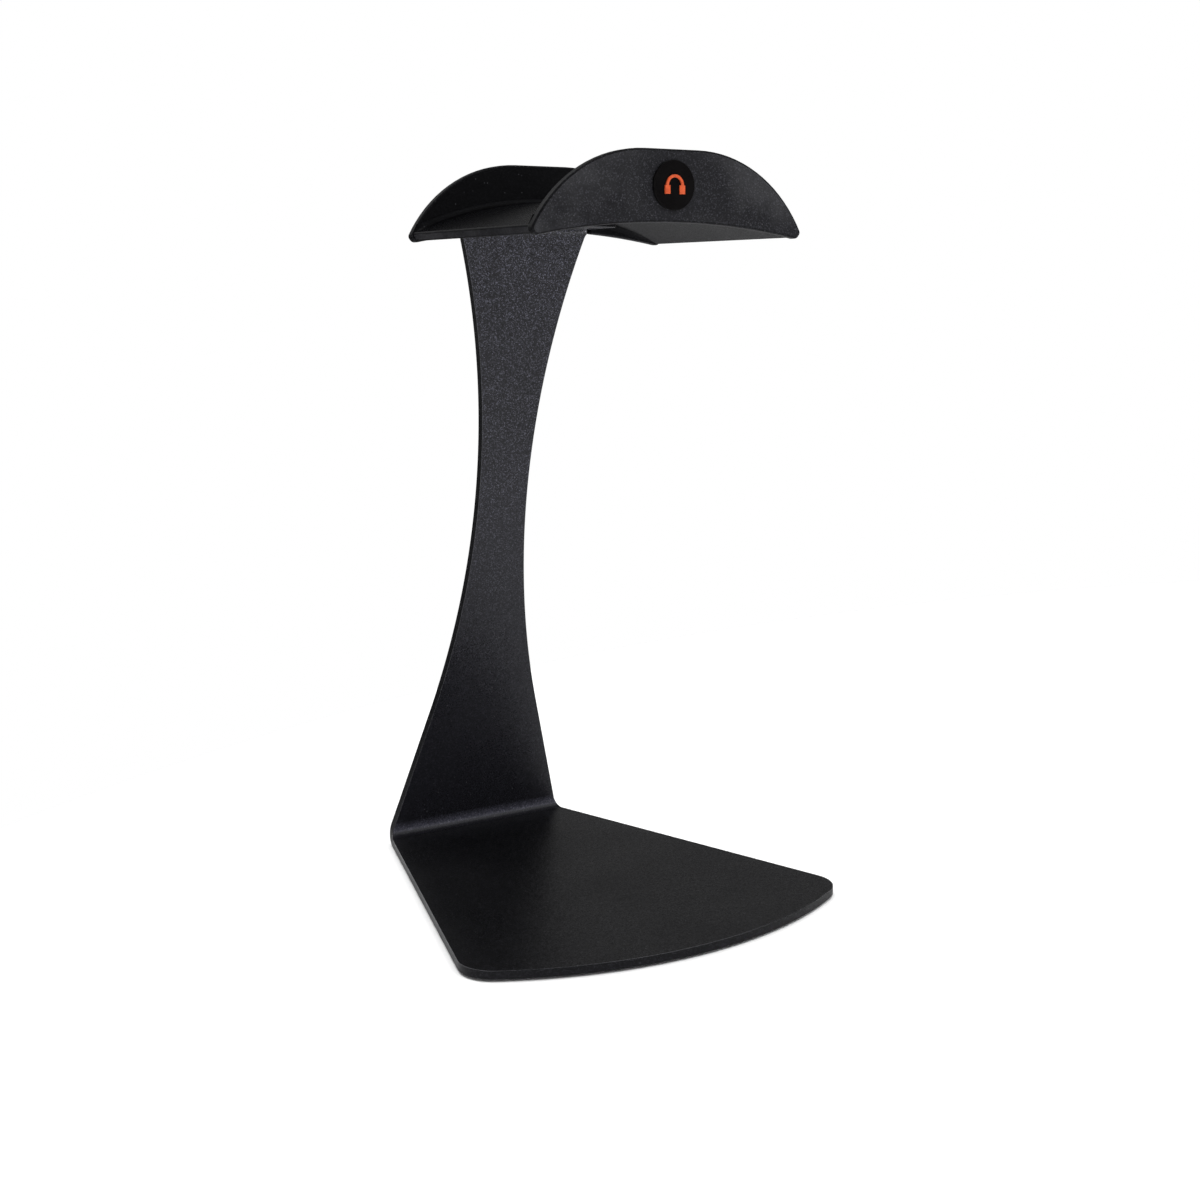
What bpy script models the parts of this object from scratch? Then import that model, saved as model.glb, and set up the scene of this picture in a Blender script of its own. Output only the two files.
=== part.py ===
"""Headphone stand: a bent steel sheet (base, leaning column, seat tab) that carries a welded saddle.

Metres, +Z up. The stand faces -Y, X runs across it, and the rubber feet rest on Z = 0.
"""

import math

import bmesh
import bpy
from mathutils import Matrix, Vector

GAP = 0.0003  # clearance between neighbouring pieces
BADGE_GAP = 0.0002  # clearance between the thin pieces of the badge
SHEET = 0.003  # thickness of all the steel sheet
EDGE = 0.0004  # rounding of a coated sheet edge
EDGE_ANGLE = math.radians(40)

FOOT_HEIGHT = 0.0005
FOOT_RADIUS = 0.006
FOOT_FRONT = (0.055, -0.049)
FOOT_REAR = (0.029, 0.064)
LIFT = FOOT_HEIGHT + GAP  # underside of the base above the desk

BASE_DEPTH = 0.1565
BASE_FRONT_RADIUS = 0.1364
BASE_CORNER_RADIUS = 0.012
SIDE_SLOPE = 0.288  # growth of the half width per length of sheet, towards the front
BEND_RADIUS = 0.003  # inside radius of both bends
BEND_STEPS = 10

LEAN = math.radians(11.45)
WAIST_HALF = 0.01005
WAIST_RADIUS = 0.308
WAIST_HEIGHT = 0.1361  # above the underside of the base

TAB_UNDERSIDE = 0.2292  # above the underside of the base
TAB_HALF = 0.0195
TAB_REACH = 0.028  # straight length past its bend
TAB_CORNER = 0.004

SADDLE_REAR_Y = 0.019  # front face of the rear plate
SADDLE_DEPTH = 0.079  # front face to front face
CREST = 0.250  # top of the plates above the underside of the base
CREST_HALF = 0.0098
CREST_RADIUS = 0.045
TIP_ANGLE = math.radians(62.4)
TIP_LOW_HALF = 0.0481
TIP_ROUND = 0.0009
PLATE_LOW = 0.22835
PLATE_LOW_RADIUS = 0.263
FLOOR_CROWN = 0.2372
FLOOR_RADIUS = 0.123
FLOOR_HALF = 0.049
WELD_LEG = 0.0018
WELD_STEPS = 5
TOP_WELD_INSET = math.radians(0.5)  # how far a weld stops short of the floor's end
UNDER_WELD_INSET = math.radians(1.6)
WELD_STEP_ANGLE = math.radians(2.2)

BADGE_RADIUS = 0.0075
BADGE_HEIGHT = 0.2393
BADGE_THICKNESS = 0.0006
BADGE_EDGE = 0.0002
MARK_THICKNESS = 0.0003
MARK_BAND = 0.0032  # outer radius of the headband shape
MARK_BAND_WIDTH = 0.0009
MARK_CUP_DROP = 0.0026
MARK_CUP_WIDTH = 0.0019

ARC_STEPS = 18
ROUND_STEPS = 48
TIP_STEPS = 4

BEND_MIDDLE = BEND_RADIUS + SHEET / 2
BASE_BEND_ANGLE = math.radians(90) + LEAN
TAB_BEND_ANGLE = math.radians(90) - LEAN
BASE_CENTRE = (BASE_DEPTH / 2 - BEND_RADIUS - SHEET, LIFT + SHEET + BEND_RADIUS)
TAB_CENTRE_HEIGHT = LIFT + TAB_UNDERSIDE - BEND_RADIUS
COLUMN_LENGTH = (TAB_CENTRE_HEIGHT - BASE_CENTRE[1]) / math.cos(LEAN)
TAB_CENTRE = (BASE_CENTRE[0] - COLUMN_LENGTH * math.sin(LEAN), TAB_CENTRE_HEIGHT)

BASE_END = BASE_CENTRE[0] + BASE_DEPTH / 2
COLUMN_START = BASE_END + BEND_MIDDLE * BASE_BEND_ANGLE
COLUMN_END = COLUMN_START + COLUMN_LENGTH
TAB_START = COLUMN_END + BEND_MIDDLE * TAB_BEND_ANGLE
TAB_END = TAB_START + TAB_REACH
SHOULDER = TAB_START + TAB_CENTRE[0] - (SADDLE_REAR_Y + SHEET + GAP)  # where the sheet meets the rear plate
WAIST_RISE = LIFT + WAIST_HEIGHT - BASE_CENTRE[1] - BEND_MIDDLE * math.sin(LEAN)
WAIST = COLUMN_START + WAIST_RISE / math.cos(LEAN)


def clear_scene():
    for obj in list(bpy.data.objects):
        bpy.data.objects.remove(obj, do_unlink=True)


def material(name, colour, roughness, metallic):
    made = bpy.data.materials.new(name)
    made.use_nodes = True
    shader = made.node_tree.nodes["Principled BSDF"]
    shader.inputs["Base Color"].default_value = (*colour, 1)
    shader.inputs["Roughness"].default_value = roughness
    shader.inputs["Metallic"].default_value = metallic
    return made


def powder_coat():
    return material("black powder coat", (0.016, 0.016, 0.019), 0.55, 0.2)


def weld_coat():
    return material("coated weld", (0.018, 0.018, 0.02), 0.5, 0.2)


def badge_plastic():
    return material("badge black", (0.012, 0.011, 0.012), 0.35, 0)


def mark_enamel():
    return material("orange enamel", (0.75, 0.09, 0.02), 0.4, 0)


def foot_rubber():
    return material("foot rubber", (0.02, 0.02, 0.02), 0.85, 0)


def place(bm, name, look, location=(0, 0, 0)):
    mesh = bpy.data.meshes.new(name)
    bm.to_mesh(mesh)
    bm.free()
    obj = bpy.data.objects.new(name, mesh)
    obj.location = location
    mesh.materials.append(look)
    bpy.context.scene.collection.objects.link(obj)
    return obj


def round_edges(obj, width=EDGE):
    bevel = obj.modifiers.new("coated edges", "BEVEL")
    bevel.width = width
    bevel.segments = 1
    bevel.limit_method = "ANGLE"
    bevel.angle_limit = EDGE_ANGLE
    for polygon in obj.data.polygons:
        polygon.use_smooth = True
    obj.data.set_sharp_from_angle(angle=EDGE_ANGLE)


def arc(centre, radius, start, end, steps):
    """Points along an arc, both ends included."""
    points = []
    for step in range(steps + 1):
        angle = start + (end - start) * step / steps
        points.append((centre[0] + radius * math.cos(angle), centre[1] + radius * math.sin(angle)))
    return points


def mirrored(half):
    """Closes a right-hand outline, given from bottom centre to top centre, with its mirror image."""
    return half + [(-x, height) for x, height in reversed(half) if x > GAP]


def extruded(points, offset):
    """A closed solid: the polygon through the points, drawn out along the offset."""
    bm = bmesh.new()
    face = bm.faces.new([bm.verts.new(point) for point in points])
    grown = bmesh.ops.extrude_face_region(bm, geom=[face])
    moved = [item for item in grown["geom"] if isinstance(item, bmesh.types.BMVert)]
    bmesh.ops.translate(bm, verts=moved, vec=offset)
    bmesh.ops.recalc_face_normals(bm, faces=bm.faces[:])
    return bm


def slab(outline, thickness):
    """A flat solid of the outline, with its thickness centred on Z = 0."""
    return extruded([(x, along, -thickness / 2) for x, along in outline], (0, 0, thickness))


def front_corner(side_at_front):
    """Centre of the arc that rounds the side line into the front arc, and the angles of its two ends."""
    slant = math.sqrt(1 + SIDE_SLOPE**2)
    inset = side_at_front - BASE_CORNER_RADIUS * slant
    reach = BASE_FRONT_RADIUS - BASE_CORNER_RADIUS
    half_sum = inset * SIDE_SLOPE + BASE_FRONT_RADIUS
    product = inset**2 + BASE_FRONT_RADIUS**2 - reach**2
    along = (half_sum - math.sqrt(half_sum**2 - slant**2 * product)) / slant**2
    centre = (inset - SIDE_SLOPE * along, along)
    start = math.atan2(along - BASE_FRONT_RADIUS, centre[0])
    return centre, start, math.atan2(SIDE_SLOPE, 1)


def blank_outline():
    """The flat sheet before bending, as (half width, length along the sheet from the front of the base)."""
    slant = math.atan(SIDE_SLOPE)
    joint = WAIST - WAIST_RADIUS * math.sin(slant)
    side_at_front = WAIST_HALF + WAIST_RADIUS * (1 - math.cos(slant)) + SIDE_SLOPE * joint
    corner, start, end = front_corner(side_at_front)
    top = math.asin((SHOULDER - WAIST) / WAIST_RADIUS)

    half = arc((0, BASE_FRONT_RADIUS), BASE_FRONT_RADIUS, -math.pi / 2, start, ARC_STEPS)
    half += arc(corner, BASE_CORNER_RADIUS, start, end, ARC_STEPS // 2)[1:]
    waist_centre = (WAIST_HALF + WAIST_RADIUS, WAIST)
    half += arc(waist_centre, WAIST_RADIUS, math.pi + slant, math.pi - top, 2 * ARC_STEPS)
    half += [(TAB_HALF, SHOULDER)]
    tab_corner = (TAB_HALF - TAB_CORNER, TAB_END - TAB_CORNER)
    half += arc(tab_corner, TAB_CORNER, 0, math.pi / 2, ARC_STEPS // 3)
    return mirrored(half)


def around(centre, start, turn, height):
    """A point on a bend: the sheet turns about the centre, and height is measured towards the centre."""
    radius = BEND_MIDDLE - height
    angle = start + turn
    return centre[0] + radius * math.cos(angle), centre[1] + radius * math.sin(angle)


def bent(point):
    """Where a point of the flat sheet lies once both bends are made. Height is towards the inside of the bends."""
    x, along, height = point
    if along <= BASE_END:
        y, z = BASE_CENTRE[0] + along - BASE_END, BASE_CENTRE[1] - BEND_MIDDLE + height
    elif along < COLUMN_START:
        y, z = around(BASE_CENTRE, -math.pi / 2, (along - BASE_END) / BEND_MIDDLE, height)
    elif along <= COLUMN_END:
        y, z = around(BASE_CENTRE, LEAN, 0, height)
        y -= (along - COLUMN_START) * math.sin(LEAN)
        z += (along - COLUMN_START) * math.cos(LEAN)
    elif along < TAB_START:
        y, z = around(TAB_CENTRE, LEAN, (along - COLUMN_END) / BEND_MIDDLE, height)
    else:
        y, z = TAB_CENTRE[0] - (along - TAB_START), TAB_CENTRE[1] + BEND_MIDDLE - height
    return Vector((x, y, z))


def stand_frame(look):
    bm = slab(blank_outline(), SHEET)
    for start, end in ((BASE_END, COLUMN_START), (COLUMN_END, TAB_START)):
        for step in range(BEND_STEPS + 1):
            along = start + (end - start) * step / BEND_STEPS
            everything = bm.verts[:] + bm.edges[:] + bm.faces[:]
            bmesh.ops.bisect_plane(bm, geom=everything, plane_co=(0, along, 0), plane_no=(0, 1, 0))
    for vertex in bm.verts:
        vertex.co = bent(vertex.co)
    round_edges(place(bm, "stand_frame", look))


def crescent_outline(notch_half, notch_top):
    """A saddle plate seen from the front, as (x, height). A notch of zero width leaves the lower edge whole."""
    low_centre = (0, PLATE_LOW - PLATE_LOW_RADIUS)
    low_end = math.asin(TIP_LOW_HALF / PLATE_LOW_RADIUS)
    low_start = math.asin(notch_half / PLATE_LOW_RADIUS)
    half = [(notch_half, notch_top)] if notch_half else []
    quarter = math.pi / 2
    half += arc(low_centre, PLATE_LOW_RADIUS, quarter - low_start, quarter - low_end, ARC_STEPS)
    crest = (CREST_HALF, CREST - CREST_RADIUS)
    half += arc(crest, CREST_RADIUS, quarter - TIP_ANGLE, quarter, ARC_STEPS)
    return mirrored(half)


def saddle_plate(name, front_y, notch_half, notch_top, look):
    bm = slab(crescent_outline(notch_half, notch_top), SHEET)
    tips = [edge for edge in bm.edges if min(abs(vertex.co.x) for vertex in edge.verts) > TIP_LOW_HALF - GAP]
    tips = [edge for edge in tips if abs(edge.verts[0].co.z - edge.verts[1].co.z) > SHEET / 2]
    sharp = [edge for edge in tips if edge.calc_face_angle() > EDGE_ANGLE / 2]
    bmesh.ops.bevel(bm, geom=sharp, offset=TIP_ROUND, segments=TIP_STEPS, profile=0.5, affect="EDGES")
    stand_up = Matrix.Rotation(math.pi / 2, 4, "X")
    bmesh.ops.transform(bm, matrix=stand_up, verts=bm.verts)
    round_edges(place(bm, name, look, (0, front_y + SHEET / 2, LIFT)))


def swept(profile_at, start, end, steps, name, look):
    """A solid drawn round the axis of the floor's arch, by angles from the crown towards +X.

    profile_at(angle) gives its (y, radius) section at that angle.
    """
    bm = bmesh.new()
    axis = LIFT + FLOOR_CROWN - FLOOR_RADIUS
    rings = []
    for step in range(steps + 1):
        angle = start + (end - start) * step / steps
        ring = []
        for y, radius in profile_at(angle):
            ring.append(bm.verts.new((radius * math.sin(angle), y, axis + radius * math.cos(angle))))
        rings.append(ring)
    bm.faces.new(rings[0])
    bm.faces.new(rings[-1])
    for ring, after in zip(rings, rings[1:]):
        for corner in range(len(ring)):
            bm.faces.new((ring[corner - 1], ring[corner], after[corner], after[corner - 1]))
    bmesh.ops.recalc_face_normals(bm, faces=bm.faces[:])
    return place(bm, name, look)


def saddle_floor(look):
    front = SADDLE_REAR_Y - SADDLE_DEPTH + SHEET + GAP
    rear = SADDLE_REAR_Y - GAP
    inner = FLOOR_RADIUS - SHEET
    profile = [(front, inner), (rear, inner), (rear, FLOOR_RADIUS), (front, FLOOR_RADIUS)]
    half = math.asin(FLOOR_HALF / FLOOR_RADIUS)
    round_edges(swept(lambda angle: profile, -half, half, 2 * ARC_STEPS, "saddle_floor", look))


def room_above(angle):
    """Height of a saddle plate above the floor's top face, at an angle from the crown."""
    x = FLOOR_RADIUS * math.sin(abs(angle))
    floor_height = FLOOR_CROWN - FLOOR_RADIUS + FLOOR_RADIUS * math.cos(angle)
    past_flat = max(0, x - CREST_HALF)
    return CREST - CREST_RADIUS + math.sqrt(CREST_RADIUS**2 - past_flat**2) - floor_height


def room_below(angle):
    """Height of a saddle plate below the floor's underside, at an angle from the crown."""
    inner = FLOOR_RADIUS - SHEET
    x = inner * math.sin(angle)
    floor_height = FLOOR_CROWN - FLOOR_RADIUS + inner * math.cos(angle)
    return floor_height - (PLATE_LOW - PLATE_LOW_RADIUS + math.sqrt(PLATE_LOW_RADIUS**2 - x**2))


def weld(name, wall_y, into, away, start, end, look):
    """A hollow fillet in the corner between a plate's face and one face of the floor, smaller where the plate is low.

    into is the direction in Y from the plate's face into the saddle. away is +1 above the floor, -1 below it.
    """
    face_radius = FLOOR_RADIUS if away > 0 else FLOOR_RADIUS - SHEET
    room = room_above if away > 0 else room_below
    corner_y = wall_y + into * GAP
    corner_radius = face_radius + away * GAP

    def profile_at(angle):
        leg = min(WELD_LEG, room(angle) - 2 * GAP)
        profile = [(corner_y, corner_radius)]
        for step in range(WELD_STEPS + 1):
            turn = math.pi / 2 * step / WELD_STEPS
            run = leg * (1 - math.cos(turn))
            rise = leg * (1 - math.sin(turn))
            profile.append((corner_y + into * (run + GAP), corner_radius + away * (rise + GAP)))
        profile[1] = (corner_y, profile[1][1])
        profile[-1] = (profile[-1][0], corner_radius)
        return profile

    steps = math.ceil((end - start) / WELD_STEP_ANGLE)
    welded = swept(profile_at, start, end, steps, name, look)
    for polygon in welded.data.polygons:
        polygon.use_smooth = True
    welded.data.set_sharp_from_angle(angle=EDGE_ANGLE)


def welds(look):
    rear = SADDLE_REAR_Y
    front = SADDLE_REAR_Y - SADDLE_DEPTH + SHEET
    half = math.asin(FLOOR_HALF / FLOOR_RADIUS)
    top = half - TOP_WELD_INSET
    under = half - UNDER_WELD_INSET
    beside_tab = math.asin((TAB_HALF + 2 * GAP + WELD_LEG) / (FLOOR_RADIUS - SHEET))
    weld("weld_rear_top", rear, -1, 1, -top, top, look)
    weld("weld_front_top", front, 1, 1, -top, top, look)
    weld("weld_front_under", front, 1, -1, -under, under, look)
    weld("weld_rear_under_left", rear, -1, -1, -under, -beside_tab, look)
    weld("weld_rear_under_right", rear, -1, -1, beside_tab, under, look)


def tab_weld(name, side, look):
    """A straight fillet between one side of the seat tab and the underside of the floor."""
    outer = TAB_HALF + GAP
    top = LIFT + FLOOR_CROWN - FLOOR_RADIUS - GAP + math.sqrt(
        (FLOOR_RADIUS - SHEET) ** 2 - (outer + WELD_LEG) ** 2
    )
    bottom = top - WELD_LEG
    rear = SADDLE_REAR_Y - 2 * WELD_LEG
    front = TAB_CENTRE[0] - TAB_REACH + TAB_CORNER
    section = [(outer, top), (outer + WELD_LEG, top), (outer, bottom)]
    bm = extruded([(side * x, rear, z) for x, z in section], (0, front - rear, 0))
    place(bm, name, look)


def disc(name, radius, thickness, location, look, rounding):
    """A round solid whose axis is Z and whose base is at its location."""
    rim = arc((0, 0), radius, 0, 2 * math.pi, ROUND_STEPS)[:-1]
    obj = place(extruded([(x, y, 0) for x, y in rim], (0, 0, thickness)), name, look, location)
    round_edges(obj, rounding)
    return obj


def badge():
    height = LIFT + BADGE_HEIGHT
    disc_y = SADDLE_REAR_Y - SADDLE_DEPTH - BADGE_GAP
    mark_y = disc_y - BADGE_THICKNESS - BADGE_GAP - MARK_THICKNESS / 2
    plate = disc("badge_disc", BADGE_RADIUS, BADGE_THICKNESS, (0, disc_y, height), badge_plastic(), BADGE_EDGE)
    mark = badge_mark(mark_enamel())
    mark.location = (0, mark_y, height)
    for piece in (plate, mark):
        piece.rotation_euler = (math.pi / 2, 0, 0)


def badge_mark(look):
    """A plain headphone sign: a headband arch that ends in two ear cups."""
    inner = MARK_BAND - MARK_BAND_WIDTH
    cup_out = MARK_BAND + MARK_BAND_WIDTH / 2
    cup_in = cup_out - MARK_CUP_WIDTH
    quarter = math.pi / 2
    half = arc((0, 0), inner, quarter, 0, ARC_STEPS // 2)
    half += [(cup_in, 0), (cup_in, -MARK_CUP_DROP), (cup_out, -MARK_CUP_DROP), (cup_out, 0)]
    half += arc((0, 0), MARK_BAND, 0, quarter, ARC_STEPS // 2)
    left = [(-x, height) for x, height in reversed(half) if x > GAP]
    bm = slab(half + left, MARK_THICKNESS)
    return place(bm, "badge_mark", look)


def feet(look):
    for end, (x, y) in (("front", FOOT_FRONT), ("rear", FOOT_REAR)):
        for side, sign in (("left", -1), ("right", 1)):
            disc(f"foot_{end}_{side}", FOOT_RADIUS, FOOT_HEIGHT, (sign * x, y, 0), look, FOOT_HEIGHT / 4)


def build():
    clear_scene()
    coat = powder_coat()
    bead = weld_coat()
    stand_frame(coat)
    notch_half = TAB_HALF + 2 * GAP
    notch_top = TAB_UNDERSIDE + SHEET + GAP
    saddle_plate("saddle_rear_plate", SADDLE_REAR_Y, notch_half, notch_top, coat)
    saddle_plate("saddle_front_plate", SADDLE_REAR_Y - SADDLE_DEPTH, 0, PLATE_LOW, coat)
    saddle_floor(coat)
    welds(bead)
    tab_weld("weld_tab_left", -1, bead)
    tab_weld("weld_tab_right", 1, bead)
    badge()
    feet(foot_rubber())


build()
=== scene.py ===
"""Looks of the headphone stand: rounded coated pieces, materials, a pale floor, soft light and the camera.

Metres, +Z up. The stand faces -Y, X runs across it, and its rubber feet rest on Z = 0.
"""

import math

import bmesh
import bpy
from mathutils import Matrix, Quaternion, Vector


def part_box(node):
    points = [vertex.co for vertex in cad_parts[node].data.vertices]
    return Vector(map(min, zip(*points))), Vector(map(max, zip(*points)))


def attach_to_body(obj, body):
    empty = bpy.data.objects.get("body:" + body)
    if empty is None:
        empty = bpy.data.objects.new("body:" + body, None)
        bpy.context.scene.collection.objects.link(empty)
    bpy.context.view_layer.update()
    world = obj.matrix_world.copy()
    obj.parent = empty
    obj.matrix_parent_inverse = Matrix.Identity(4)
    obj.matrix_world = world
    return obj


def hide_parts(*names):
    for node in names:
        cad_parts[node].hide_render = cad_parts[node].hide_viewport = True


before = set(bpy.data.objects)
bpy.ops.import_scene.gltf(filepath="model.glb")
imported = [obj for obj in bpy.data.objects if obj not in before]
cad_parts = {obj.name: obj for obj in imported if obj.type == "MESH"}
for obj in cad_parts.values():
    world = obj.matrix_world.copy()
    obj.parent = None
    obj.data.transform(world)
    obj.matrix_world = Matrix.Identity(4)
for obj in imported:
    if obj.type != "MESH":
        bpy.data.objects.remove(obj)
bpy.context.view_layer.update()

BASE_LOW, STAND_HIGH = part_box("stand_frame")
LIFT = BASE_LOW.z
PLATE_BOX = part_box("saddle_rear_plate")
FRONT_PLATE_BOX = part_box("saddle_front_plate")
DISC_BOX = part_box("badge_disc")
MARK_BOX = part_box("badge_mark")

SHEET = PLATE_BOX[1].y - PLATE_BOX[0].y
ROUNDING = 0.0006  # radius of a sheet edge under its coat
ROUNDING_STEPS = 4
SHARP = math.radians(40)  # an edge between faces that turn by more than this is sharp
SMALLEST = 0.0001  # how far from the middle a point lies to have a mirror image
FINEST_TURN = math.radians(4)  # of one straight step along an arc
LONGEST_STEP = 0.003

BASE_DEPTH = STAND_HIGH.y - BASE_LOW.y
BASE_FRONT_RADIUS = 0.1364
BASE_CORNER_RADIUS = 0.012
SIDE_SLOPE = 0.288  # growth of the half width per length of sheet, towards the front
BEND_RADIUS = 0.003  # inside radius of both bends
BEND_STEPS = 16

LEAN = math.radians(11.45)
WAIST_HALF = 0.01005
WAIST_RADIUS = 0.308
WAIST_HEIGHT = 0.1361  # above the underside of the base

TAB_UNDERSIDE = 0.2292  # above the underside of the base
TAB_HALF = 0.0195
TAB_REACH = 0.028  # straight length past its bend
TAB_CORNER = 0.004
NOTCH_GAP = 0.0001  # clearance of the rear plate round the tab

# places of looks in a coated piece's list, where the roundings take the last place
FRAME_FLAT, FRAME_EDGE = 1, 2
PLATE_INNER, PLATE_EDGE = 1, 2
FLOOR_END, FLOOR_UNDER = 1, 2

CREST = PLATE_BOX[1].z - LIFT
CREST_HALF = 0.0098
CREST_RADIUS = 0.045
TIP_ANGLE = math.radians(62.4)
TIP_LOW_HALF = 0.0481
TIP_ROUND = 0.0009
TIP_STEPS = 6
ROUND_PROFILE = 0.5  # shape of the rounded tips: a circle's arc
PLATE_LOW = 0.22835
PLATE_LOW_RADIUS = 0.263
FLOOR_CROWN = 0.2372
FLOOR_RADIUS = 0.123
FLOOR_HALF = 0.049
FILLET = 0.0021
FILLET_STEPS = 12
FILLET_INSET = math.radians(0.15)  # how far a fillet stops short of the floor's end
FILLET_STEP_ANGLE = math.radians(1)
SMALLEST_FILLET = 0.0003
OVERLAP = 0.0003  # how far joined coated pieces run into each other

GRAIN = 0.00032  # size of one grain of the coat
GRAIN_CONTRAST = 5.0  # the higher, the fewer grains are light
GRAIN_MEAN = 0.167  # lightness of the average grain
COAT_BLACK = (0.001, 0.001, 0.0012, 1)
COAT_SHEEN = (0.92, 0.92, 1.0, 1)
PEEL = 0.0028  # width of the waves of the orange peel
PEEL_DEPTH = 0.00003
CLOUD = 0.035  # size of the wide clouds in which the roughness drifts
CLOUD_DRIFT = 0.04
SPOT = 0.0005  # size of the small spots in which it drifts
SPOT_DRIFT = 0.05
NOISE_RANGE = (0.3, 0.7)  # nearly all of a noise lies in it

SPECK_SPACING = 0.0011  # size of the cells in which a light grain may lie
SPECK_DRAW = (0.95, 0.96)  # a cell whose draw is above this has one
SPECK_RIM = (0.12, 0.24)  # where the light grain fades out, in cells from its middle
SPECK_COLOUR = (0.10, 0.10, 0.11, 1)
SPECK_COVER = 0.7
SPECK_POLISH = 0.12  # how much smoother a light grain is

HAZE_SIZE = 0.022  # of one smudge
HAZE_SHARE = (0.40, 0.64)  # between these values of its noise the haze sets in
HAZE_START = (0.010, 0.026)  # distances from the badge's middle between which it sets in
HAZE_COLOUR = (0.5, 0.5, 0.52, 1)

COARSE_HEIGHTS = (0.06, 0.16)  # between which the column's grain gets its full contrast
FINE_SHARE = 0.3  # of the contrast below them
# painted highlight on the column: its grains are painted lighter in the lower bend, in place of a reflection
BEND_HIGHLIGHT = 2.7  # painted highlight: how much lighter the grains are painted in the upper half of the lower bend
BEND_HIGHLIGHT_START = (0.4, 0.6)  # where the painted highlight sets in above the base, in bend radii
BEND_HIGHLIGHT_FADE = (1, 2)  # where it fades out
# painted shade on the column: its grains are painted darker towards the base and lightest at the top
WAIST_HEIGHTS = (0.088, 0.128)  # between which the painted shade on the grains lifts, below the waist
HEAD_HEIGHTS = (0.185, 0.215)  # between which the painted shade lifts again, above it
LOW_PAINTED_LIGHT = 0.39  # painted shade: lightness of the grains below the waist, where it is 1 at the top
WAIST_PAINTED_LIGHT = 0.64

BADGE_BLACKS = ((0.0030, 0.0026, 0.0028, 1), (0.0048, 0.0042, 0.0044, 1))
MARK_ORANGES = ((0.62, 0.082, 0.020, 1), (0.78, 0.115, 0.030, 1))
RUBBER_GREYS = ((0.018, 0.018, 0.018, 1), (0.045, 0.044, 0.042, 1))
PAPER_WHITES = ((0.86, 0.86, 0.86, 1), (0.88, 0.88, 0.88, 1))
PAPER_ROUGHNESS = 0.9

BADGE_RADIUS = (DISC_BOX[1].x - DISC_BOX[0].x) / 2
BADGE_HEIGHT = (DISC_BOX[1].z + DISC_BOX[0].z) / 2
BADGE_EDGE = 0.0002  # radius of the rounded rim
FOOT_EDGE = 0.00015
PAD_STEPS = 3  # of the rounding of a round pad
MARK_STEPS = 2
MARK_BAND = 0.0032  # outer radius of the headband shape
MARK_BAND_WIDTH = 0.0009
MARK_CUP_DROP = 0.0026
MARK_CUP_WIDTH = 0.0019

MIX_FACTOR, MIX_FIRST, MIX_SECOND, MIX_RESULT = 0, 6, 7, 2  # colour sockets of a mix node

BEND_MIDDLE = BEND_RADIUS + SHEET / 2
BASE_BEND_ANGLE = math.radians(90) + LEAN
TAB_BEND_ANGLE = math.radians(90) - LEAN
BASE_CENTRE = (BASE_DEPTH / 2 - BEND_RADIUS - SHEET, LIFT + SHEET + BEND_RADIUS)
TAB_CENTRE_HEIGHT = LIFT + TAB_UNDERSIDE - BEND_RADIUS
COLUMN_LENGTH = (TAB_CENTRE_HEIGHT - BASE_CENTRE[1]) / math.cos(LEAN)
TAB_CENTRE = (BASE_CENTRE[0] - COLUMN_LENGTH * math.sin(LEAN), TAB_CENTRE_HEIGHT)

BASE_END = BASE_CENTRE[0] + BASE_DEPTH / 2
COLUMN_START = BASE_END + BEND_MIDDLE * BASE_BEND_ANGLE
COLUMN_END = COLUMN_START + COLUMN_LENGTH
TAB_START = COLUMN_END + BEND_MIDDLE * TAB_BEND_ANGLE
TAB_END = TAB_START + TAB_REACH
SHOULDER = TAB_START + TAB_CENTRE[0] - PLATE_BOX[1].y  # where the sheet meets the rear plate
WAIST_RISE = LIFT + WAIST_HEIGHT - BASE_CENTRE[1] - BEND_MIDDLE * math.sin(LEAN)
WAIST = COLUMN_START + WAIST_RISE / math.cos(LEAN)

FLOOR_MIDDLE = (0.40, -0.65)
FLOOR_REACH = 1.0
ROOM_LIGHT = 0.08
# direction of each soft light, the cosines between which it fades out, and how much light it adds
SOFT_LIGHTS = (
    ((0.45, -0.60, 0.66), 0.96, 0.82, 2.02),
    ((0.52, 0.80, 0.28), 0.97, 0.80, 0.18),
    ((-0.72, -0.58, 0.20), 0.975, 0.90, 3.0),
    ((-0.25, 0.60, 0.76), 0.97, 0.88, 2.0),
    ((-0.10, 0.97, 0.10), 0.99, 0.95, 1.2),
    ((0.0, 0.15, 1.0), 0.97, 0.88, 1.5),
)
FLOOR_LIGHT_PLACE = (0.0, -0.4, 2.0)
FLOOR_LIGHT_SIZE = 4.0
FLOOR_LIGHT_POWER = 90.0

CAMERA_PLACE = (-0.30063, -0.49596, 0.20812)
CAMERA_AZIMUTH = math.radians(-32.12)
CAMERA_ELEVATION = math.radians(-10.23)
CAMERA_ROLL = math.radians(-0.32)
CAMERA_LENS = 51.02
CAMERA_SENSOR = 36


def place(bm, name, looks):
    """Puts a finished mesh into the scene as an object with the given materials."""
    mesh = bpy.data.meshes.new(name)
    bm.to_mesh(mesh)
    bm.free()
    obj = bpy.data.objects.new(name, mesh)
    for look in looks:
        mesh.materials.append(look)
    bpy.context.scene.collection.objects.link(obj)
    return obj


def smooth(obj):
    """Shades a piece smooth except across its sharp edges."""
    for polygon in obj.data.polygons:
        polygon.use_smooth = True
    obj.data.set_sharp_from_angle(angle=SHARP)


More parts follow.
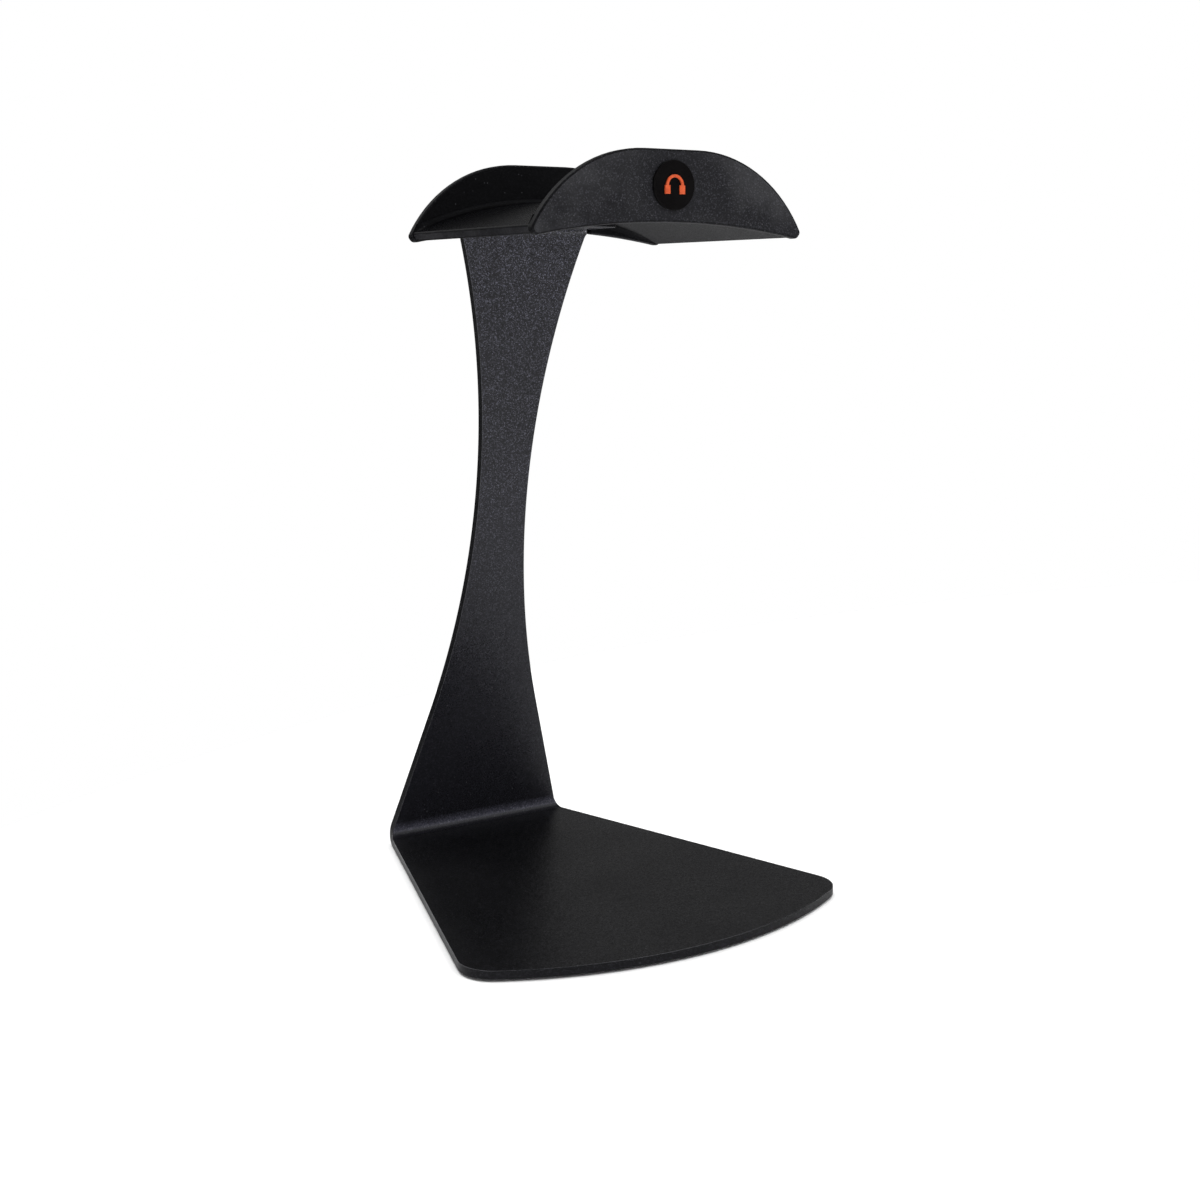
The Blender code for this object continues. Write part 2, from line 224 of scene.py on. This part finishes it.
def round_edges(obj, width=ROUNDING, steps=ROUNDING_STEPS):
    """Rounds every sharp edge. The rounding takes the piece's last material."""
    smooth(obj)
    bevel = obj.modifiers.new("rounded edges", "BEVEL")
    bevel.width = width
    bevel.segments = steps
    bevel.limit_method = "ANGLE"
    bevel.angle_limit = SHARP
    bevel.harden_normals = True
    bevel.material = len(obj.data.materials) - 1


def arc(centre, radius, start, end):
    """Points along an arc, both ends included, close enough together to look round."""
    turn = abs(end - start)
    steps = max(1, math.ceil(turn / FINEST_TURN), math.ceil(turn * radius / LONGEST_STEP))
    points = []
    for step in range(steps + 1):
        angle = start + (end - start) * step / steps
        points.append((centre[0] + radius * math.cos(angle), centre[1] + radius * math.sin(angle)))
    return points


def circle(centre, radius):
    """Points round a whole circle, each once."""
    return arc(centre, radius, 0, 2 * math.pi)[:-1]


def mirrored(half):
    """Closes a right-hand outline, given from bottom centre to top centre, with its mirror image."""
    return half + [(-x, height) for x, height in reversed(half) if x > SMALLEST]


def extruded(points, offset):
    """A closed solid: the polygon through the points, drawn out along the offset."""
    bm = bmesh.new()
    face = bm.faces.new([bm.verts.new(point) for point in points])
    grown = bmesh.ops.extrude_face_region(bm, geom=[face])
    moved = [item for item in grown["geom"] if isinstance(item, bmesh.types.BMVert)]
    bmesh.ops.translate(bm, verts=moved, vec=offset)
    bmesh.ops.recalc_face_normals(bm, faces=bm.faces[:])
    return bm


def slab(outline, thickness):
    """A flat solid of the outline, with its thickness centred on Z = 0."""
    return extruded([(x, along, -thickness / 2) for x, along in outline], (0, 0, thickness))


def stood_up(y, height):
    """Turns a flat piece upright, its upper side to the front, and moves it to this y and height."""
    return Matrix.Translation((0, y, height)) @ Matrix.Rotation(math.pi / 2, 4, "X")


def front_corner(side_at_front):
    """Centre of the arc that rounds the side line into the front arc, and the angles of its two ends."""
    slant = math.sqrt(1 + SIDE_SLOPE**2)
    inset = side_at_front - BASE_CORNER_RADIUS * slant
    reach = BASE_FRONT_RADIUS - BASE_CORNER_RADIUS
    half_sum = inset * SIDE_SLOPE + BASE_FRONT_RADIUS
    product = inset**2 + BASE_FRONT_RADIUS**2 - reach**2
    along = (half_sum - math.sqrt(half_sum**2 - slant**2 * product)) / slant**2
    centre = (inset - SIDE_SLOPE * along, along)
    start = math.atan2(along - BASE_FRONT_RADIUS, centre[0])
    return centre, start, math.atan2(SIDE_SLOPE, 1)


def blank_outline():
    """The flat sheet before bending, as (half width, length along the sheet from the front of the base)."""
    slant = math.atan(SIDE_SLOPE)
    joint = WAIST - WAIST_RADIUS * math.sin(slant)
    side_at_front = WAIST_HALF + WAIST_RADIUS * (1 - math.cos(slant)) + SIDE_SLOPE * joint
    corner, start, end = front_corner(side_at_front)
    top = math.asin((SHOULDER - WAIST) / WAIST_RADIUS)

    half = arc((0, BASE_FRONT_RADIUS), BASE_FRONT_RADIUS, -math.pi / 2, start)
    half += arc(corner, BASE_CORNER_RADIUS, start, end)[1:]
    waist_centre = (WAIST_HALF + WAIST_RADIUS, WAIST)
    half += arc(waist_centre, WAIST_RADIUS, math.pi + slant, math.pi - top)
    half += [(TAB_HALF, SHOULDER)]
    tab_corner = (TAB_HALF - TAB_CORNER, TAB_END - TAB_CORNER)
    half += arc(tab_corner, TAB_CORNER, 0, math.pi / 2)
    return mirrored(half)


def around(centre, start, turn, height):
    """A point on a bend: the sheet turns about the centre, and height is measured towards the centre."""
    radius = BEND_MIDDLE - height
    angle = start + turn
    return centre[0] + radius * math.cos(angle), centre[1] + radius * math.sin(angle)


def bent(point):
    """Where a point of the flat sheet lies once both bends are made. Its height points into the bends."""
    x, along, height = point
    if along <= BASE_END:
        y, z = BASE_CENTRE[0] + along - BASE_END, BASE_CENTRE[1] - BEND_MIDDLE + height
    elif along < COLUMN_START:
        y, z = around(BASE_CENTRE, -math.pi / 2, (along - BASE_END) / BEND_MIDDLE, height)
    elif along <= COLUMN_END:
        y, z = around(BASE_CENTRE, LEAN, 0, height)
        y -= (along - COLUMN_START) * math.sin(LEAN)
        z += (along - COLUMN_START) * math.cos(LEAN)
    elif along < TAB_START:
        y, z = around(TAB_CENTRE, LEAN, (along - COLUMN_END) / BEND_MIDDLE, height)
    else:
        y, z = TAB_CENTRE[0] - (along - TAB_START), TAB_CENTRE[1] + BEND_MIDDLE - height
    return Vector((x, y, z))


def coated_frame(looks):
    """The one sheet of base, column and seat tab: a flat blank, divided across its bends and then bent."""
    bm = slab(blank_outline(), SHEET)
    for start, end in ((BASE_END, COLUMN_START), (COLUMN_END, TAB_START)):
        for step in range(BEND_STEPS + 1):
            along = start + (end - start) * step / BEND_STEPS
            everything = bm.verts[:] + bm.edges[:] + bm.faces[:]
            bmesh.ops.bisect_plane(bm, geom=everything, plane_co=(0, along, 0), plane_no=(0, 1, 0))
    for face in bm.faces:
        if abs(face.normal.z) < math.cos(SHARP):
            face.material_index = FRAME_EDGE
        elif face.calc_center_median().y < BASE_END:
            face.material_index = FRAME_FLAT
    for vertex in bm.verts:
        vertex.co = bent(vertex.co)
    obj = place(bm, "coated_frame", looks)
    round_edges(obj)
    return obj


def crescent_outline(notch_half, notch_top):
    """A saddle plate seen from the front, as (x, height). With a notch half of 0 its lower edge is whole."""
    low_centre = (0, PLATE_LOW - PLATE_LOW_RADIUS)
    low_end = math.asin(TIP_LOW_HALF / PLATE_LOW_RADIUS)
    low_start = math.asin(notch_half / PLATE_LOW_RADIUS)
    half = [(notch_half, notch_top)] if notch_half else []
    quarter = math.pi / 2
    half += arc(low_centre, PLATE_LOW_RADIUS, quarter - low_start, quarter - low_end)
    crest = (CREST_HALF, CREST - CREST_RADIUS)
    half += arc(crest, CREST_RADIUS, quarter - TIP_ANGLE, quarter)
    return mirrored(half)


def coated_plate(name, front_y, inner_side, notch_half, notch_top, looks):
    """A saddle plate with rounded tips. inner_side is the direction in Y in which its inner face looks."""
    bm = slab(crescent_outline(notch_half, notch_top), SHEET)
    # the edges through the sheet's thickness at the two tips
    near_tip = TIP_LOW_HALF - OVERLAP
    tips = [edge for edge in bm.edges if min(abs(vertex.co.x) for vertex in edge.verts) > near_tip]
    tips = [edge for edge in tips if abs(edge.verts[0].co.z - edge.verts[1].co.z) > SHEET / 2]
    sharp = [edge for edge in tips if edge.calc_face_angle() > SHARP / 2]
    bmesh.ops.bevel(
        bm, geom=sharp, offset=TIP_ROUND, segments=TIP_STEPS, profile=ROUND_PROFILE, affect="EDGES"
    )
    bmesh.ops.transform(bm, matrix=stood_up(front_y + SHEET / 2, LIFT), verts=bm.verts)
    obj = place(bm, name, looks)
    for polygon in obj.data.polygons:
        if abs(polygon.normal.y) < math.cos(SHARP):
            polygon.material_index = PLATE_EDGE
        elif polygon.normal.y * inner_side > 0:
            polygon.material_index = PLATE_INNER
    round_edges(obj)
    return obj


def swept(profile_at, start, end, name, looks):
    """A solid drawn round the axis of the floor's arch, by angles from the crown towards +X.

    profile_at(angle) gives its (y, radius) section at that angle.
    """
    bm = bmesh.new()
    axis = LIFT + FLOOR_CROWN - FLOOR_RADIUS
    steps = math.ceil((end - start) / FILLET_STEP_ANGLE)
    rings = []
    for step in range(steps + 1):
        angle = start + (end - start) * step / steps
        ring = []
        for y, radius in profile_at(angle):
            ring.append(bm.verts.new((radius * math.sin(angle), y, axis + radius * math.cos(angle))))
        rings.append(ring)
    bm.faces.new(rings[0])
    bm.faces.new(rings[-1])
    for ring, after in zip(rings, rings[1:]):
        for corner in range(len(ring)):
            bm.faces.new((ring[corner - 1], ring[corner], after[corner], after[corner - 1]))
    bmesh.ops.recalc_face_normals(bm, faces=bm.faces[:])
    return place(bm, name, looks)


def coated_floor(looks):
    """The arched strip on which the headband lies, running a little into both saddle plates."""
    front = FRONT_PLATE_BOX[1].y - OVERLAP
    rear = PLATE_BOX[0].y + OVERLAP
    inner = FLOOR_RADIUS - SHEET
    profile = [(front, inner), (rear, inner), (rear, FLOOR_RADIUS), (front, FLOOR_RADIUS)]
    half = math.asin(FLOOR_HALF / FLOOR_RADIUS)
    obj = swept(lambda angle: profile, -half, half, "coated_floor", looks)
    for polygon in obj.data.polygons:
        if abs(polygon.normal.x) > math.cos(half) - OVERLAP:
            polygon.material_index = FLOOR_END
        elif polygon.normal.z < 0:
            polygon.material_index = FLOOR_UNDER
    round_edges(obj)
    return obj


def room_above(angle):
    """Height of a saddle plate above the floor's top face, at an angle from the crown."""
    x = FLOOR_RADIUS * math.sin(abs(angle))
    floor_height = FLOOR_CROWN - FLOOR_RADIUS + FLOOR_RADIUS * math.cos(angle)
    past_flat = max(0, x - CREST_HALF)
    return CREST - CREST_RADIUS + math.sqrt(CREST_RADIUS**2 - past_flat**2) - floor_height


def room_below(angle):
    """Height of a saddle plate below the floor's underside, at an angle from the crown."""
    inner = FLOOR_RADIUS - SHEET
    x = inner * math.sin(angle)
    floor_height = FLOOR_CROWN - FLOOR_RADIUS + inner * math.cos(angle)
    return floor_height - (PLATE_LOW - PLATE_LOW_RADIUS + math.sqrt(PLATE_LOW_RADIUS**2 - x**2))


def fillet(name, wall_y, into, away, start, end, looks):
    """A hollow fillet rooted in a plate and in one face of the floor, smaller where the plate is low.

    into is the direction in Y from the plate's face into the saddle. away is +1 above the floor, -1 below it.
    """
    face_radius = FLOOR_RADIUS if away > 0 else FLOOR_RADIUS - SHEET
    room = room_above if away > 0 else room_below

    def profile_at(angle):
        size = max(SMALLEST_FILLET, min(FILLET, room(angle) - ROUNDING / 2))
        profile = [(wall_y - into * OVERLAP, face_radius - away * OVERLAP)]
        profile.append((wall_y - into * OVERLAP, face_radius + away * size))
        for step in range(FILLET_STEPS + 1):
            turn = math.pi / 2 * step / FILLET_STEPS
            run = size * (1 - math.cos(turn))
            rise = size * (1 - math.sin(turn))
            profile.append((wall_y + into * run, face_radius + away * rise))
        profile.append((wall_y + into * size, face_radius - away * OVERLAP))
        return profile

    obj = swept(profile_at, start, end, name, looks)
    smooth(obj)
    return obj


def fillets(looks):
    """Every fillet, by the weld that it stands for."""
    rear = PLATE_BOX[0].y
    front = FRONT_PLATE_BOX[1].y
    half = math.asin(FLOOR_HALF / FLOOR_RADIUS) - FILLET_INSET
    beside_tab = math.asin((TAB_HALF + FILLET) / (FLOOR_RADIUS - SHEET))
    places = {
        "weld_rear_top": (rear, -1, 1, -half, half),
        "weld_front_top": (front, 1, 1, -half, half),
        "weld_front_under": (front, 1, -1, -half, half),
        "weld_rear_under_left": (rear, -1, -1, -half, -beside_tab),
        "weld_rear_under_right": (rear, -1, -1, beside_tab, half),
    }
    made = {}
    for weld, facts in places.items():
        made[weld] = fillet(weld.replace("weld", "fillet"), *facts, looks)
    return made


def tab_fillet(name, side, looks):
    """A fillet between one side of the seat tab and the underside of the floor."""
    arch_drop = math.sqrt((FLOOR_RADIUS - SHEET) ** 2 - (TAB_HALF + FILLET) ** 2)
    top = LIFT + FLOOR_CROWN - FLOOR_RADIUS + arch_drop
    section = [(TAB_HALF - OVERLAP, top + OVERLAP), (TAB_HALF + FILLET, top + OVERLAP)]
    for step in range(FILLET_STEPS + 1):
        angle = math.pi / 2 * step / FILLET_STEPS
        run = FILLET * (1 - math.sin(angle))
        rise = FILLET * (1 - math.cos(angle))
        section.append((TAB_HALF + run, top - rise))
    section.append((TAB_HALF - OVERLAP, top - FILLET))
    rear = PLATE_BOX[0].y - FILLET
    front = TAB_CENTRE[0] - TAB_REACH + TAB_CORNER
    bm = extruded([(side * x, rear, z) for x, z in section], (0, front - rear, 0))
    obj = place(bm, name, looks)
    smooth(obj)
    return obj


def rounded_disc(name, radius, low, high, looks, edge):
    """A round pad whose axis is Z, with rounded rims."""
    bm = extruded([(x, y, low) for x, y in circle((0, 0), radius)], (0, 0, high - low))
    obj = place(bm, name, looks)
    round_edges(obj, edge, PAD_STEPS)
    return obj


def badge_face(looks):
    """The round badge, rooted a little in the front plate."""
    depth = DISC_BOX[1].y - DISC_BOX[0].y + OVERLAP
    disc = rounded_disc("badge_face", BADGE_RADIUS, 0, depth, looks, BADGE_EDGE)
    disc.matrix_world = stood_up(DISC_BOX[1].y + OVERLAP, BADGE_HEIGHT)
    return disc


def badge_sign(looks):
    """A plain headphone sign: a round headband with a cup below each end."""
    inner = MARK_BAND - MARK_BAND_WIDTH
    cup_out = MARK_BAND + MARK_BAND_WIDTH / 2
    cup_in = cup_out - MARK_CUP_WIDTH
    quarter = math.pi / 2
    half = arc((0, 0), inner, quarter, 0)
    half += [(cup_in, 0), (cup_in, -MARK_CUP_DROP), (cup_out, -MARK_CUP_DROP), (cup_out, 0)]
    half += arc((0, 0), MARK_BAND, 0, quarter)
    depth = DISC_BOX[0].y - MARK_BOX[0].y + OVERLAP
    mark = place(slab(mirrored(half), depth), "badge_sign", looks)
    mark.matrix_world = stood_up((MARK_BOX[0].y + DISC_BOX[0].y + OVERLAP) / 2, BADGE_HEIGHT)
    round_edges(mark, BADGE_EDGE / 2, MARK_STEPS)
    return mark


def feet(looks):
    """The four rubber pads under the base, by their nodes."""
    made = {}
    for end in ("front", "rear"):
        for side in ("left", "right"):
            node = f"foot_{end}_{side}"
            low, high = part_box(node)
            radius = (high.x - low.x) / 2
            pad = rounded_disc(f"pad_{end}_{side}", radius, 0, LIFT + OVERLAP, looks, FOOT_EDGE)
            pad.matrix_world = Matrix.Translation(((low.x + high.x) / 2, (low.y + high.y) / 2, 0))
            made[node] = pad
    return made


class Nodes:
    """Short calls that add nodes to a material or the world and link their inputs.

    place is where on the piece a point lies or, for the world, the direction that it is seen in.
    """

    def __init__(self, owner, coordinates="Object"):
        self.owner = owner
        self.tree = owner.node_tree
        self.place = self.add("ShaderNodeTexCoord").outputs[coordinates]

    def add(self, kind, inputs=(), **settings):
        node = self.tree.nodes.new(kind)
        for name, value in settings.items():
            setattr(node, name, value)
        for socket, value in dict(inputs).items():
            self.feed(node.inputs[socket], value)
        return node

    def feed(self, socket, value):
        if isinstance(value, bpy.types.NodeSocket):
            self.tree.links.new(value, socket)
        else:
            socket.default_value = value

    def noise(self, size, detail=2.0, roughness=0.5):
        """Smooth noise from 0 to 1 whose blotches are about size across."""
        inputs = {"Vector": self.place, "Scale": 1 / size, "Detail": detail, "Roughness": roughness}
        return self.add("ShaderNodeTexNoise", inputs).outputs[0]

    def cells(self, size):
        """Cells of about the given size: the distance from a cell's middle, and a colour drawn for each."""
        return self.add("ShaderNodeTexVoronoi", {"Vector": self.place, "Scale": 1 / size}).outputs

    def draw(self, cells):
        """One number from 0 to 1 for each cell."""
        return self.add("ShaderNodeSeparateColor", {0: cells["Color"]}).outputs[0]

    def math(self, operation, first, second):
        return self.add("ShaderNodeMath", {0: first, 1: second}, operation=operation).outputs[0]

    def span(self, value, low, high, to_low=0.0, to_high=1.0):
        """value, from low to high, mapped to the new range and held at its ends."""
        inputs = {"Value": value, "From Min": low, "From Max": high, "To Min": to_low, "To Max": to_high}
        return self.add("ShaderNodeMapRange", inputs).outputs[0]

    def mix(self, factor, first, second):
        node = self.add("ShaderNodeMix", data_type="RGBA")
        self.feed(node.inputs[MIX_FACTOR], factor)
        self.feed(node.inputs[MIX_FIRST], first)
        self.feed(node.inputs[MIX_SECOND], second)
        return node.outputs[MIX_RESULT]

    def bump(self, height, depth, under=None):
        inputs = {"Height": height, "Distance": depth, "Strength": 1.0}
        if under:
            inputs["Normal"] = under
        return self.add("ShaderNodeBump", inputs).outputs[0]

    def facets(self, size, tilt):
        """A normal that leans at random from one grain of the given size to the next."""
        lean = self.vector("SUBTRACT", self.cells(size)["Color"], (0.5, 0.5, 0.5))
        lean = self.vector("MULTIPLY", lean, tilt)
        flat = self.add("ShaderNodeNewGeometry").outputs["Normal"]
        return self.vector("NORMALIZE", self.vector("ADD", flat, lean))

    def vector(self, operation, first, *second):
        inputs = dict(enumerate((first, *second)))
        return self.add("ShaderNodeVectorMath", inputs, operation=operation).outputs[0]

    def finish(self, colour, roughness, normal, **uniform):
        """Feeds the shader. The uniform values are the same all over the surface."""
        shader = self.tree.nodes["Principled BSDF"]
        self.feed(shader.inputs["Base Color"], colour)
        self.feed(shader.inputs["Roughness"], roughness)
        if normal:
            self.feed(shader.inputs["Normal"], normal)
        for name, value in uniform.items():
            shader.inputs[name.replace("_", " ")].default_value = value
        return self.owner


def new_material(name):
    """The nodes of a new material."""
    material = bpy.data.materials.new(name)
    material.use_nodes = True
    return Nodes(material)


def column_painted_light(n, height):
    """Painted light on the column by height: a painted highlight in the lower bend and painted shade that
    darkens the grains towards the base, as a share of the bend's highlight.
    """
    base_top = LIFT + SHEET
    bend_low, bend_high = (base_top + BEND_RADIUS * radii for radii in BEND_HIGHLIGHT_START)
    fade_low, fade_high = (base_top + BEND_RADIUS * radii for radii in BEND_HIGHLIGHT_FADE)
    fading = n.span(height, fade_low, fade_high, 1.0, 0.0)
    # painted highlight in the upper half of the lower bend
    bend_highlight = n.math("MULTIPLY", n.span(height, bend_low, bend_high), fading)
    waist = n.span(height, *WAIST_HEIGHTS, LOW_PAINTED_LIGHT / BEND_HIGHLIGHT, WAIST_PAINTED_LIGHT / BEND_HIGHLIGHT)
    head = n.span(height, *HEAD_HEIGHTS, 0.0, (1 - WAIST_PAINTED_LIGHT) / BEND_HIGHLIGHT)
    return n.math("MAXIMUM", bend_highlight, n.math("ADD", waist, head))


def light_grains(n):
    """1 on the few light grains of the coat, 0 elsewhere."""
    cells = n.cells(SPECK_SPACING)
    chosen = n.span(n.draw(cells), *SPECK_DRAW)
    return n.math("MULTIPLY", chosen, n.span(cells["Distance"], *SPECK_RIM, 1.0, 0.0))


def smudge_haze(n, most):
    """How thick the lighter smudges are, up to the given share. There are none round the badge."""
    smudge = n.noise(HAZE_SIZE, detail=5.0, roughness=0.55)
    badge = (0, FRONT_PLATE_BOX[0].y, BADGE_HEIGHT)
    distance = n.add("ShaderNodeVectorMath", {0: n.place, 1: badge}, operation="DISTANCE").outputs["Value"]
    return n.math("MULTIPLY", n.span(smudge, *HAZE_SHARE, 0.0, most), n.span(distance, *HAZE_START))


def coat_roughness(n, mean, speck):
    """The mean roughness, drifting in wide clouds and in small spots, and smoother on the light grains."""
    cloud = n.span(n.noise(CLOUD, detail=3.0), *NOISE_RANGE, -CLOUD_DRIFT, CLOUD_DRIFT)
    spot = n.noise(SPOT, detail=1.5, roughness=0.6)
    spot = n.span(spot, *NOISE_RANGE, mean + SPOT_DRIFT, mean - SPOT_DRIFT)
    return n.math("SUBTRACT", n.math("ADD", cloud, spot), n.math("MULTIPLY", speck, SPECK_POLISH))


def powder_coat(where, fleck_and_painted_light, tilt, rough, ior=1.35, contrast=1.0, blue=1.2, haze=0.0, column=False):
    """Fine black powder coat: grains that lean and shine at random, soft orange peel, a few light grains.

    fleck is how light the lightest grains are, painted lighter or darker at each place for the light and
    shade that it gets, blue how much bluer than grey, tilt how far the grains lean and contrast how much they
    differ. On the column the fleck follows the height as painted highlight and painted shade, and the
    contrast follows the height too.
    rough is the mean roughness, and haze how thick the lighter smudges get.
    """
    n = new_material(f"powder coat {where}")
    shine = n.math("POWER", n.draw(n.cells(GRAIN)), GRAIN_CONTRAST)
    if column:
        height = n.add("ShaderNodeSeparateXYZ", {0: n.place}).outputs["Z"]
        contrast = n.span(height, *COARSE_HEIGHTS, FINE_SHARE, 1.0)
    shine = n.mix(contrast, (GRAIN_MEAN, GRAIN_MEAN, GRAIN_MEAN, 1), shine)
    if column:
        # painted light and shade: grains painted lighter in the bend and at the top, darker towards the base
        shine = n.math("MULTIPLY", shine, column_painted_light(n, height))
        fleck_and_painted_light *= BEND_HIGHLIGHT
    speck = light_grains(n)
    colour = n.mix(shine, COAT_BLACK, (fleck_and_painted_light, fleck_and_painted_light, fleck_and_painted_light * blue, 1))
    if haze:
        colour = n.mix(smudge_haze(n, haze), colour, HAZE_COLOUR)
    colour = n.mix(n.math("MULTIPLY", speck, SPECK_COVER), colour, SPECK_COLOUR)
    facets = n.facets(GRAIN, n.math("MULTIPLY", tilt, contrast))
    normal = n.bump(n.noise(PEEL, detail=1.0), PEEL_DEPTH, facets)
    return n.finish(colour, coat_roughness(n, rough, speck), normal, IOR=ior, Specular_Tint=COAT_SHEEN)


def badge_plastic():
    """Near-black printed plastic with a faint satin unevenness."""
    n = new_material("badge plastic")
    cloud = n.noise(size=0.004)
    fine = n.noise(size=0.00015)
    roughness = n.span(cloud, *NOISE_RANGE, to_low=0.30, to_high=0.38)
    return n.finish(n.mix(cloud, *BADGE_BLACKS), roughness, n.bump(fine, depth=0.000003), IOR=1.15)


def mark_enamel():
    """Orange-red enamel, slightly uneven."""
    n = new_material("orange enamel")
    cloud = n.noise(size=0.0012)
    colour = n.mix(n.span(cloud, low=0.35, high=0.65), *MARK_ORANGES)
    roughness = n.span(cloud, *NOISE_RANGE, to_low=0.38, to_high=0.50)
    return n.finish(colour, roughness, n.bump(cloud, depth=0.00002), IOR=1.45)


def foot_rubber():
    """Matt rubber with a fine moulded texture and a little dust."""
    n = new_material("foot rubber")
    fine = n.noise(size=0.0004, detail=3.0)
    dust = n.noise(size=0.003, detail=3.0)
    colour = n.mix(n.span(dust, low=0.45, high=0.75), *RUBBER_GREYS)
    roughness = n.span(fine, *NOISE_RANGE, to_low=0.78, to_high=0.92)
    return n.finish(colour, roughness, n.bump(fine, depth=0.00008), IOR=1.5)


def floor_paper():
    """Matt white paper with faint fibres."""
    n = new_material("pale floor")
    fibre = n.noise(size=0.002, detail=3.0)
    return n.finish(n.mix(fibre, *PAPER_WHITES), PAPER_ROUGHNESS, None)


def studio_floor():
    """A round sheet of paper under the stand."""
    bm = bmesh.new()
    bm.faces.new([bm.verts.new((x, y, 0)) for x, y in circle(FLOOR_MIDDLE, FLOOR_REACH)])
    floor = place(bm, "studio_floor", [floor_paper()])
    return floor


def floor_light(floor):
    """A wide overhead light that only the floor receives, for an even white and a tight contact shadow."""
    data = bpy.data.lights.new("floor light", "AREA")
    data.size = FLOOR_LIGHT_SIZE
    data.energy = FLOOR_LIGHT_POWER
    obj = bpy.data.objects.new("floor light", data)
    obj.location = FLOOR_LIGHT_PLACE
    obj.visible_camera = False
    bpy.context.scene.collection.objects.link(obj)
    lit = bpy.data.collections.new("lit by the floor light")
    lit.objects.link(floor)
    obj.light_linking.receiver_collection = lit


def studio_light():
    """Soft lights in a dim room for the object, and plain white behind it."""
    world = bpy.data.worlds.new("studio")
    bpy.context.scene.world = world
    world.use_nodes = True
    world.node_tree.nodes.clear()
    n = Nodes(world, "Generated")

    total = ROOM_LIGHT
    for towards, inner, outer, power in SOFT_LIGHTS:
        pair = {0: n.place, 1: Vector(towards).normalized()}
        aim = n.add("ShaderNodeVectorMath", pair, operation="DOT_PRODUCT").outputs["Value"]
        fade = {"Value": aim, "From Min": outer, "From Max": inner, "To Max": power}
        glow = n.add("ShaderNodeMapRange", fade, interpolation_type="SMOOTHSTEP").outputs[0]
        total = n.math("ADD", total, glow)
    room = n.add("ShaderNodeBackground", {"Strength": total}).outputs[0]
    backdrop = n.add("ShaderNodeBackground", {"Color": (1, 1, 1, 1)}).outputs[0]
    seen = n.add("ShaderNodeLightPath").outputs["Is Camera Ray"]
    shown = n.add("ShaderNodeMixShader", {0: seen, 1: room, 2: backdrop}).outputs[0]
    n.add("ShaderNodeOutputWorld", {"Surface": shown})


def camera():
    """The camera, in front of the stand and to the left, looking slightly down."""
    data = bpy.data.cameras.new("camera")
    data.lens = CAMERA_LENS
    data.sensor_width = CAMERA_SENSOR
    obj = bpy.data.objects.new("camera", data)
    bpy.context.scene.collection.objects.link(obj)
    flat = math.cos(CAMERA_ELEVATION)
    across = -math.sin(CAMERA_AZIMUTH) * flat
    away = math.cos(CAMERA_AZIMUTH) * flat
    ahead = Vector((across, away, math.sin(CAMERA_ELEVATION)))
    turn = ahead.to_track_quat("-Z", "Y") @ Quaternion((0, 0, 1), CAMERA_ROLL)
    obj.matrix_world = Matrix.Translation(CAMERA_PLACE) @ turn.to_matrix().to_4x4()
    bpy.context.scene.camera = obj


def attach(piece, node):
    """Fixes a coated piece to the stand in place of its node."""
    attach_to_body(piece, "root")
    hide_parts(node)


def build():
    """Every coated piece in place of its node, then the floor, the lights and the camera."""
    # copies of the one black powder coat whose grain lightness paints the light and shade of each place:
    # lighter on the column and the saddle's face, darker on the base, inside and under the saddle and on the
    # fillets
    upright = powder_coat("on the column", fleck_and_painted_light=0.123, tilt=0.26, rough=0.30, blue=1.32, column=True)
    flat = powder_coat("on the base", fleck_and_painted_light=0.017, tilt=0.18, rough=0.34)
    face = powder_coat("on the saddle", fleck_and_painted_light=0.057, tilt=0.12, rough=0.48, haze=0.05, contrast=0.6)
    inner = powder_coat("inside the saddle", fleck_and_painted_light=0.006, tilt=0.05, rough=0.42, ior=1.25)
    seat = powder_coat("on the saddle floor", fleck_and_painted_light=0.014, tilt=0.05, rough=0.26, ior=1.10)
    under = powder_coat("under the saddle", fleck_and_painted_light=0.008, tilt=0.10, rough=0.60, ior=1.32)
    edge = powder_coat("on edges", fleck_and_painted_light=0.018, tilt=0.08, rough=0.46, ior=1.22)
    arris = powder_coat("on rounded edges", fleck_and_painted_light=0.024, tilt=0.08, rough=0.22, ior=1.8)
    weld = powder_coat("on fillets", fleck_and_painted_light=0.008, tilt=0.10, rough=0.45, ior=1.15)
    plate_coat = [face, inner, edge, edge]
    attach(coated_frame([upright, flat, edge, arris]), "stand_frame")
    notch_half = TAB_HALF + NOTCH_GAP
    notch_top = TAB_UNDERSIDE + SHEET + NOTCH_GAP / 2
    rear = coated_plate("coated_rear_plate", PLATE_BOX[0].y, -1, notch_half, notch_top, plate_coat)
    attach(rear, "saddle_rear_plate")
    front = coated_plate("coated_front_plate", FRONT_PLATE_BOX[0].y, 1, 0, PLATE_LOW, plate_coat)
    attach(front, "saddle_front_plate")
    attach(coated_floor([seat, face, under, edge]), "saddle_floor")
    for node, piece in fillets([weld]).items():
        attach(piece, node)
    for side, sign in (("left", -1), ("right", 1)):
        attach(tab_fillet(f"fillet_tab_{side}", sign, [weld]), f"weld_tab_{side}")
    attach(badge_face([badge_plastic()]), "badge_disc")
    attach(badge_sign([mark_enamel()]), "badge_mark")
    for node, piece in feet([foot_rubber()]).items():
        attach(piece, node)
    floor_light(studio_floor())
    studio_light()
    camera()
    bpy.context.scene.view_settings.view_transform = "Standard"


build()
